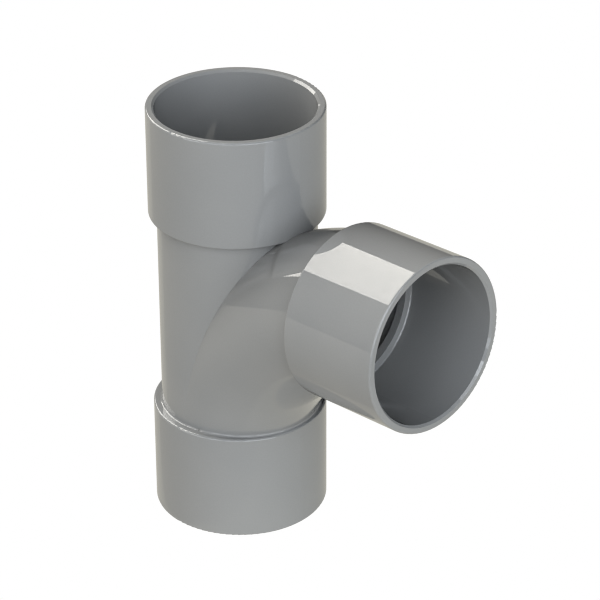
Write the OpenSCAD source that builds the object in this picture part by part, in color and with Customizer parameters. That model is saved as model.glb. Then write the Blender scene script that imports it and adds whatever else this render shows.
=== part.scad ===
// Swept tee for waste pipe, moulded in one piece: a straight run with a socket at each end, and a third
// socket on a branch that sweeps up out of the run. Every socket takes the end of a plain pipe.
// Frame: origin at the middle of the lower mouth, +Z up the run, +X towards the branch.

/* [Pipe fit] */
// Outside diameter of the pipe that every socket takes
pipe_d = 43; // [32:0.5:56]
// Gap between the pipe and the socket, on the radius
pipe_clearance = 0.1; // [0.05:0.05:0.3]
// How far a pipe goes in, from the rim to the stop ring
socket_depth = 28.5; // [20:0.5:36]
// Width of the ring that stops the pipe
stop_w = 2.2; // [1.2:0.1:3]

/* [Walls] */
// Wall of a socket
socket_wall = 2.3; // [1.6:0.1:4]
// Wall at the bottom of a socket, between the stop ring and the shoulder outside
shoulder_t = 2.3; // [1.5:0.1:4]
// Wall of the body and of the sweep
body_wall = 1.9; // [1.5:0.1:2.6]
// How much narrower the neck behind a stop ring is than the waterway, on the radius
neck_step = 0.3; // [0.2:0.05:0.6]

/* [Run and branch] */
// Distance from the lower mouth to the point where the two axes cross
lower_reach = 72.4; // [68:0.2:90]
// Distance from the point where the axes cross to the upper mouth
upper_reach = 47.2; // [46:0.2:70]
// Distance from the point where the axes cross to the branch's mouth
branch_reach = 72.4; // [68:0.2:90]
// Angle at which the branch rises, for the fall of the pipe
branch_rise = 2.5; // [0:0.25:5]

/* [Sweep] */
// Radius of the sweep's centre line
sweep_r = 63.7; // [50:0.1:90]
// Height of the sweep's start on the run's axis, above the lower shoulder
sweep_start = 0.4; // [0:0.1:3]
// How far the sweep's end lies past the branch's shoulder
sweep_end = 1.2; // [0:0.1:2]

/* [Edges] */
// Radius on the outer edges of a socket
edge_fillet = 0.5; // [0.2:0.1:0.9]
// Radius in the corner between the body and a shoulder
root_fillet = 0.5; // [0.2:0.1:0.9]
// Radius in the corner between the stop ring and the socket's wall
stop_fillet = 0.3; // [0.1:0.1:0.6]
// Width of the lead-in chamfer on the rim
lead_in_w = 0.6; // [0.2:0.05:0.8]
// Length of the lead-in chamfer along the socket
lead_in_len = 0.6; // [0.3:0.05:2]

/* [Hidden] */
$fn = 96;
// How far a cut runs past the face that it opens
past = 1;

bore_r = pipe_d / 2 + pipe_clearance;
socket_r = bore_r + socket_wall;
neck_r = bore_r - stop_w;
waterway_r = neck_r + neck_step;
body_r = waterway_r + body_wall;
socket_len = socket_depth + shoulder_t;
run_length = lower_reach + upper_reach;
branch_shoulder = branch_reach - socket_len;

// The centre line of the sweep is an arc in the XZ plane, between a point on each axis
branch_dir = [cos(branch_rise), sin(branch_rise)];
branch_up = [-sin(branch_rise), cos(branch_rise)];
sweep_from = [0, socket_len + sweep_start];
sweep_to = on_branch(branch_shoulder + sweep_end, 0);
sweep_chord = sweep_to - sweep_from;
bend_side = [sweep_chord[1], -sweep_chord[0]] / norm(sweep_chord);
bend_depth = sqrt(pow(sweep_r, 2) - pow(norm(sweep_chord) / 2, 2));
bend_centre = (sweep_from + sweep_to) / 2 + bend_side * bend_depth;

// Point in the XZ plane, s along the branch and t above its axis
function on_branch(s, t) = [0, lower_reach] + s * branch_dir + t * branch_up;

// How far below the branch's axis a level lies, measured square to the branch at s
function drop_to(level, s) = (level - on_branch(s, 0)[1]) / branch_up[1];

// The corner of a square of side r that a round of radius r leaves over
module fillet_corner(r) {
    difference() {
        square(r);
        circle(r);
    }
}

// Outside of a socket: axis on Z, mouth at z = 0, shoulder below it
module socket_shell() {
    rotate_extrude()
        difference() {
            translate([0, -socket_len])
                square([socket_r, socket_len]);
            translate([socket_r - edge_fillet, -edge_fillet])
                fillet_corner(edge_fillet);
            translate([socket_r - edge_fillet, edge_fillet - socket_len])
                mirror([0, 1])
                    fillet_corner(edge_fillet);
        }
}

// Space inside a socket: lead-in, the pipe's bore down to the stop ring, and the neck through the shoulder
module socket_space() {
    rotate_extrude()
        difference() {
            translate([0, -socket_depth])
                square([bore_r, socket_depth + past]);
            translate([bore_r - stop_fillet, stop_fillet - socket_depth])
                mirror([0, 1])
                    fillet_corner(stop_fillet);
        }
    translate([0, 0, -lead_in_len])
        cylinder(h = lead_in_len, r1 = bore_r, r2 = bore_r + lead_in_w);
    translate([0, 0, -socket_len - past])
        cylinder(h = shoulder_t + 2 * past, r = neck_r);
}

// Fillet between a shoulder that faces +Z at z = 0 and the body that stands on it
module body_root() {
    rotate_extrude()
        translate([body_r + root_fillet, root_fillet])
            mirror([1, 0])
                mirror([0, 1])
                    fillet_corner(root_fillet);
}

// Puts a socket on each of the three mouths
module at_mouths() {
    rotate([180, 0, 0])
        children();
    translate([0, 0, run_length])
        children();
    translate([0, 0, lower_reach])
        rotate([0, 90 - branch_rise, 0])
            translate([0, 0, branch_reach])
                children();
}

// Round bar of radius r along the sweep, from the level low to the plane square to the branch at far
module sweep_bar(r, low, far) {
    top = 2 * socket_r;
    field = [
        [0, low],
        on_branch(far, drop_to(low, far)),
        on_branch(far, top),
        [0, on_branch(far, top)[1]]
    ];
    intersection() {
        translate([bend_centre[0], 0, bend_centre[1]])
            rotate([90, 0, 0])
                rotate_extrude()
                    translate([sweep_r, 0])
                        circle(r);
        rotate([90, 0, 0])
            linear_extrude(2 * (r + past), center = true)
                polygon(field);
    }
}

// The whole fitting: the outside as one solid, less the three sockets and the waterway
module tee_body() {
    color([0.56, 0.57, 0.57])
        difference() {
            union() {
                at_mouths()
                    socket_shell();
                translate([0, 0, socket_len - shoulder_t / 2])
                    cylinder(h = run_length - 2 * socket_len + shoulder_t, r = body_r);
                translate([0, 0, socket_len])
                    body_root();
                sweep_bar(body_r, socket_len - shoulder_t / 2, branch_shoulder + shoulder_t / 2);
            }
            at_mouths()
                socket_space();
            translate([0, 0, socket_len])
                cylinder(h = run_length - 2 * socket_len, r = waterway_r);
            sweep_bar(waterway_r, socket_len, branch_shoulder);
        }
}

tee_body();
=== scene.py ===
import math

import bpy
from mathutils import Matrix, Vector


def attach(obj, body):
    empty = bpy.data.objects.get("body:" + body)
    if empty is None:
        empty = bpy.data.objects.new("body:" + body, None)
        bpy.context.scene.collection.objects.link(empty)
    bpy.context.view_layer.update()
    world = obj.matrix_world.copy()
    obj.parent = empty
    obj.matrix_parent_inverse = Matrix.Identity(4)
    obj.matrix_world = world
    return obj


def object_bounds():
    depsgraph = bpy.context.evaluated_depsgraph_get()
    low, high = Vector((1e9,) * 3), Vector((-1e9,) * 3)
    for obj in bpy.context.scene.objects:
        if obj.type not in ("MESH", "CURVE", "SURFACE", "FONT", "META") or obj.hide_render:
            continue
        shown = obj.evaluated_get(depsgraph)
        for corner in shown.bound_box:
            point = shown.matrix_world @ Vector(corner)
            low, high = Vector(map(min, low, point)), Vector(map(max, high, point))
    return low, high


# Swept tee for waste pipe, moulded in one grey plastic. It stands on a pale floor among softboxes, and the
# picture shows only the part, on white.
# Frame: origin at the middle of the lower mouth, +Z up the run, +X towards the branch, in metres.

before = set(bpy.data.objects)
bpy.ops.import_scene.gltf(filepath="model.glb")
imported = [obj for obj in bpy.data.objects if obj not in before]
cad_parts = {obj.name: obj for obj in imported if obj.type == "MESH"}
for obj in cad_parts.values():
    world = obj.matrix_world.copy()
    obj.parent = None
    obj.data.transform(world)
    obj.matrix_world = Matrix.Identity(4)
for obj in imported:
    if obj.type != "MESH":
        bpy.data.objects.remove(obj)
cad_low, cad_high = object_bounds()
MM = 0.001
RUN_MIDDLE = Vector((0, 0, (cad_low.z + cad_high.z) / 2))

# The camera faces the middle of the run from the photograph's angle, then shifts to its own right and up.
# Angles are in degrees. The lens and the sensor are in millimetres.
CAMERA_AZIMUTH = 45.24
CAMERA_ELEVATION = 28.87
CAMERA_ROLL = -0.25
CAMERA_DISTANCE = 799.7 * MM
CAMERA_RIGHT = 16.67 * MM
CAMERA_UP = 0.93 * MM
CAMERA_LENS = 176.2
CAMERA_SENSOR = 36.0
CAMERA_CLIP = 10 * MM

# The floor only lights the part and shows in its gloss; the picture sees the white surroundings instead.
# It is two half discs that meet in a straight seam, just in front of the run. The rear one is lighter.
FLOOR_RADIUS = 1.1
FLOOR_SIDES = 48
FLOOR_SEAM_Y = -25 * MM
FLOOR_SEAM_TURN = -5
FRONT_GLOW = (0.47, 0.45, 0.4)
REAR_GLOW = (0.59, 0.57, 0.5)
WHITE = (1.0, 1.0, 1.0)

# The sweep is a round bar on an arc. Its foot meets the flat shoulder of the lower socket in a rounded
# corner.
BAR_RADIUS = 21.6 * MM
ARC_RADIUS = 63.7 * MM
ARC_X = 61.125 * MM
ARC_Z = 13.272 * MM
SHOULDER_Z = 30.8 * MM

# The rounded corner is a closed strip. It reaches FILLET_REACH degrees round the bar to either side of the
# middle plane. Its back lies inside the solid: behind each surface at a multiple of the radius, and behind
# the corner at a multiple of the distance to the corner, both from the middle of the rolled ball.
FILLET_RADIUS = 0.5 * MM
FILLET_REACH = 76
FILLET_STATIONS = 76
FILLET_STEPS = 8
BACK_AT_SURFACE = 1.4
BACK_AT_CORNER = 1.15

# The sweep's waterway, from the stop ring down to the run, has a duller finish than the rest. It lies
# within WATERWAY_EDGE of the arc, above WATERWAY_LOW, and up to WATERWAY_FAR along the branch from the
# point where the axes cross.
BRANCH_RISE = math.radians(2.5)
AXES_CROSS_Z = 72.4 * MM
WATERWAY_EDGE = 19.9 * MM
WATERWAY_LOW = 30.9 * MM
WATERWAY_FAR = 43.85 * MM
DULL_ROUGHNESS = 0.5
DULL_SHEEN = -0.35

# The plastic drifts slowly between two tints and two degrees of gloss. Its grain is too fine to see as
# bumps and varies the sheen. Most of a cloud noise lies between NOISE_LOW and NOISE_HIGH.
PLASTIC_IOR = 1.62
NOISE_LOW = 0.3
NOISE_HIGH = 0.7
DRIFT_SCALE = 28
DRIFT_DETAIL = 3
DARK_TINT = (0.275, 0.281, 0.283)
LIGHT_TINT = (0.302, 0.305, 0.303)
SMOOTH_ROUGHNESS = 0.01
ROUGH_ROUGHNESS = 0.025
GRAIN_SCALE = 2400
GRAIN_DETAIL = 2
GRAIN_HEIGHT = 0.002 * MM
GRAIN_STRENGTH = 0.05
LOW_SHEEN = 0.36
HIGH_SHEEN = 0.64

# Softboxes stand round the part at one distance and face it. Azimuth 0 is -Y and 90 is +X.
# Each row: name, then azimuth, elevation and tilt within its own plane in degrees, width and height in
# metres, brightness against the white surroundings, colour.
SOFTBOX_DISTANCE = 1.5
SOFTBOXES = [
    ("key", -88.1, 44.2, -16, 1.16, 1.38, 5.6, (1.0, 0.97, 0.91)),
    ("front_left", -20, 13, 0, 0.6, 0.9, 1.5, (1.0, 0.95, 0.85)),
    ("high_front", -5, 42, 0, 0.5, 0.7, 2.4, (1.0, 1.0, 0.97)),
    ("window_left", 16, 13, 0, 0.7, 0.85, 2.2, (0.96, 1.0, 1.06)),
    ("window_middle", 46, 13, 0, 0.45, 0.85, 1.9, (0.95, 1.0, 1.07)),
    ("window_right", 80, 14, 0, 1.1, 0.9, 3.8, (0.95, 1.0, 1.06)),
    ("high_middle", 34, 41, 0, 0.9, 0.65, 2.1, (0.96, 1.0, 1.06)),
    ("high_right", 78, 38, 0, 1.0, 0.4, 1.8, (0.97, 1.0, 1.03)),
]

# A narrow pixel filter keeps edges crisp, and without diffuse bounces the sockets' insides stay dark
PIXEL_FILTER = 1.2
DIFFUSE_BOUNCES = 0
GLOSSY_BOUNCES = 1


def direction(azimuth, elevation):
    """Unit vector from the part towards an azimuth and elevation: 0 is -Y and 90 is +X."""
    a, e = math.radians(azimuth), math.radians(elevation)
    return Vector((math.sin(a) * math.cos(e), -math.cos(a) * math.cos(e), math.sin(e)))


def add(name, data):
    """New object in the scene."""
    made = bpy.data.objects.new(name, data)
    bpy.context.scene.collection.objects.link(made)
    return made


def make_camera():
    """Camera at the photograph's viewing angle, turned by a small roll."""
    back = direction(CAMERA_AZIMUTH, CAMERA_ELEVATION)
    level = Vector((-back.y, back.x, 0)).normalized()
    upright = back.cross(level)
    roll = math.radians(CAMERA_ROLL)
    right = math.cos(roll) * level + math.sin(roll) * upright
    up = -math.sin(roll) * level + math.cos(roll) * upright
    place = RUN_MIDDLE + back * CAMERA_DISTANCE + right * CAMERA_RIGHT + up * CAMERA_UP
    data = bpy.data.cameras.new("camera")
    data.lens = CAMERA_LENS
    data.sensor_width = CAMERA_SENSOR
    data.clip_start = CAMERA_CLIP
    camera = add("camera", data)
    camera.matrix_world = Matrix.Translation(place) @ Matrix((right, up, back)).transposed().to_4x4()
    bpy.context.scene.camera = camera


def glowing(name, glow):
    """Matt material that only gives off light of one colour."""
    material = bpy.data.materials.new(name)
    material.use_nodes = True
    shader = material.node_tree.nodes["Principled BSDF"]
    shader.inputs["Base Color"].default_value = (0, 0, 0, 1)
    shader.inputs["Specular IOR Level"].default_value = 0
    shader.inputs["Emission Color"].default_value = (*glow, 1)
    shader.inputs["Emission Strength"].default_value = 1
    return material


def make_floor():
    """Two pale half discs that meet in the seam, each evenly lit."""
    turn = math.radians(FLOOR_SEAM_TURN)
    for name, start, glow in (("floor_rear", 0, REAR_GLOW), ("floor_front", math.pi, FRONT_GLOW)):
        edge = [turn + start + math.pi * i / FLOOR_SIDES for i in range(FLOOR_SIDES + 1)]
        ring = [Vector((math.cos(t), math.sin(t), 0)) * FLOOR_RADIUS for t in edge]
        points = [point + Vector((0, FLOOR_SEAM_Y, 0)) for point in ring]
        mesh = bpy.data.meshes.new(name)
        mesh.from_pydata(points, [], [range(len(points))])
        mesh.materials.append(glowing(name, glow))
        floor = add(name, mesh)
        floor.visible_camera = False


def make_softboxes():
    """Rectangular area lights, each turned to the middle of the part."""
    for name, azimuth, elevation, tilt, width, height, brightness, color in SOFTBOXES:
        data = bpy.data.lights.new(name, "AREA")
        data.shape = "RECTANGLE"
        data.size = width
        data.size_y = height
        # The power, in watts, that gives the face its brightness
        data.energy = math.pi * width * height * brightness
        data.color = color
        back = direction(azimuth, elevation)
        facing = back.to_track_quat("Z", "Y").to_matrix()
        light = add(name, data)
        light.rotation_euler = (facing @ Matrix.Rotation(math.radians(tilt), 3, "Z")).to_euler()
        light.location = RUN_MIDDLE + SOFTBOX_DISTANCE * back
        light.visible_camera = False


def make_surroundings():
    """White all round the part in the picture, adding no light of its own."""
    world = bpy.data.worlds.new("surroundings")
    bpy.context.scene.world = world
    world.use_nodes = True
    background = world.node_tree.nodes["Background"]
    background.inputs["Color"].default_value = (*WHITE, 1)
    background.inputs["Strength"].default_value = 1
    world.cycles_visibility.diffuse = False
    world.cycles_visibility.glossy = False


def math_node(tree, operation, *values):
    """Math node whose inputs are sockets or plain numbers."""
    node = tree.nodes.new("ShaderNodeMath")
    node.operation = operation
    for socket, value in zip(node.inputs, values):
        if isinstance(value, bpy.types.NodeSocket):
            tree.links.new(value, socket)
        else:
            socket.default_value = value
    return node.outputs[0]


def length_node(tree, first, second):
    """Length of the longest side of a right-angled triangle with these two sides."""
    square = math_node(tree, "MULTIPLY", second, second)
    return math_node(tree, "SQRT", math_node(tree, "MULTIPLY_ADD", first, first, square))


def in_waterway(tree, place):
    """1 where a point lies within the sweep's waterway or on its wall, and 0 elsewhere."""
    split = tree.nodes.new("ShaderNodeSeparateXYZ")
    tree.links.new(place, split.inputs[0])
    x, y, z = split.outputs
    across = math_node(tree, "SUBTRACT", x, ARC_X)
    above = math_node(tree, "SUBTRACT", z, ARC_Z)
    off_arc = math_node(tree, "SUBTRACT", length_node(tree, across, above), ARC_RADIUS)
    near = math_node(tree, "LESS_THAN", length_node(tree, off_arc, y), WATERWAY_EDGE)
    high = math_node(tree, "GREATER_THAN", z, WATERWAY_LOW)
    along = math_node(tree, "MULTIPLY", x, math.cos(BRANCH_RISE))
    along = math_node(tree, "MULTIPLY_ADD", z, math.sin(BRANCH_RISE), along)
    inner = math_node(tree, "LESS_THAN", along, WATERWAY_FAR + AXES_CROSS_Z * math.sin(BRANCH_RISE))
    return math_node(tree, "MULTIPLY", math_node(tree, "MULTIPLY", near, high), inner)


def noise_node(tree, place, scale, detail):
    """Cloud noise fixed to the part, as a factor from 0 to 1."""
    noise = tree.nodes.new("ShaderNodeTexNoise")
    noise.inputs["Scale"].default_value = scale
    noise.inputs["Detail"].default_value = detail
    tree.links.new(place, noise.inputs["Vector"])
    return noise.outputs["Fac"]


def range_node(tree, factor, low, high):
    """Factor stretched to run from low to high."""
    stretch = tree.nodes.new("ShaderNodeMapRange")
    stretch.inputs["To Min"].default_value = low
    stretch.inputs["To Max"].default_value = high
    tree.links.new(factor, stretch.inputs["Value"])
    return stretch


def grey_plastic():
    """Glossy moulded plastic: mid grey with slow drifts of tint and gloss, and a very fine grain."""
    material = bpy.data.materials.new("grey_plastic_look")
    material.use_nodes = True
    tree = material.node_tree
    shader = tree.nodes["Principled BSDF"]
    shader.inputs["IOR"].default_value = PLASTIC_IOR
    place = tree.nodes.new("ShaderNodeTexCoord").outputs["Object"]
    drift = noise_node(tree, place, DRIFT_SCALE, DRIFT_DETAIL)
    grain = noise_node(tree, place, GRAIN_SCALE, GRAIN_DETAIL)
    dull = in_waterway(tree, place)

    tint = tree.nodes.new("ShaderNodeValToRGB")
    dark, light = tint.color_ramp.elements
    dark.position = NOISE_LOW
    dark.color = (*DARK_TINT, 1)
    light.position = NOISE_HIGH
    light.color = (*LIGHT_TINT, 1)
    tree.links.new(drift, tint.inputs["Fac"])
    tree.links.new(tint.outputs["Color"], shader.inputs["Base Color"])

    gloss = range_node(tree, drift, SMOOTH_ROUGHNESS, ROUGH_ROUGHNESS)
    rough = math_node(tree, "MULTIPLY_ADD", dull, DULL_ROUGHNESS, gloss.outputs["Result"])
    tree.links.new(rough, shader.inputs["Roughness"])

    bump = tree.nodes.new("ShaderNodeBump")
    bump.inputs["Strength"].default_value = GRAIN_STRENGTH
    bump.inputs["Distance"].default_value = GRAIN_HEIGHT
    tree.links.new(grain, bump.inputs["Height"])
    tree.links.new(bump.outputs["Normal"], shader.inputs["Normal"])

    sheen = range_node(tree, grain, LOW_SHEEN, HIGH_SHEEN)
    sheen.inputs["From Min"].default_value = NOISE_LOW
    sheen.inputs["From Max"].default_value = NOISE_HIGH
    level = math_node(tree, "MULTIPLY_ADD", dull, DULL_SHEEN, sheen.outputs["Result"])
    tree.links.new(level, shader.inputs["Specular IOR Level"])
    return material


def dress_body(look):
    """The look in every slot of the CAD body."""
    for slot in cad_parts["tee_body"].material_slots:
        slot.material = look


def fillet_ring(turn):
    """One cut through the strip, where the rolled ball touches both the bar and the shoulder."""
    down = Vector((0, 0, -1))
    rise = SHOULDER_Z + FILLET_RADIUS - ARC_Z
    reach = BAR_RADIUS + FILLET_RADIUS
    out = ARC_RADIUS - reach * math.cos(turn)
    along = math.sqrt(out ** 2 - rise ** 2)
    ball = Vector((ARC_X - along, reach * math.sin(turn), ARC_Z + rise))
    bar = Vector((ARC_X - along * ARC_RADIUS / out, 0, ARC_Z + rise * ARC_RADIUS / out))
    inward = (bar - ball).normalized()
    corner = (down + inward).normalized()
    front = [down.slerp(inward, k / FILLET_STEPS) for k in range(FILLET_STEPS + 1)]
    back = [
        BACK_AT_SURFACE * inward,
        BACK_AT_CORNER / corner.dot(inward) * corner,
        BACK_AT_SURFACE * down,
    ]
    return [ball + FILLET_RADIUS * way for way in front + back]


def foot_fillet(look):
    """Rounded corner between the sweep's foot and the lower shoulder, as a rolled ball leaves it."""
    points, faces, smooth = [], [], []
    for i in range(FILLET_STATIONS + 1):
        points += fillet_ring(math.radians(FILLET_REACH * (2 * i / FILLET_STATIONS - 1)))
    count = len(points) // (FILLET_STATIONS + 1)
    for i in range(FILLET_STATIONS):
        for k in range(count):
            a, b = i * count + k, i * count + (k + 1) % count
            faces.append((a, b, b + count, a + count))
            smooth.append(k < FILLET_STEPS)
    faces.append(tuple(range(count - 1, -1, -1)))
    faces.append(tuple(range(FILLET_STATIONS * count, len(points))))
    smooth += [False, False]
    mesh = bpy.data.meshes.new("foot_fillet")
    mesh.from_pydata(points, [], faces)
    mesh.polygons.foreach_set("use_smooth", smooth)
    mesh.materials.append(look)
    fillet = add("foot_fillet", mesh)
    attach(fillet, "root")


make_camera()
make_floor()
make_softboxes()
make_surroundings()
plastic = grey_plastic()
dress_body(plastic)
foot_fillet(plastic)
bpy.context.scene.view_settings.view_transform = "Standard"
bpy.context.scene.cycles.filter_width = PIXEL_FILTER
bpy.context.scene.cycles.diffuse_bounces = DIFFUSE_BOUNCES
bpy.context.scene.cycles.glossy_bounces = GLOSSY_BOUNCES
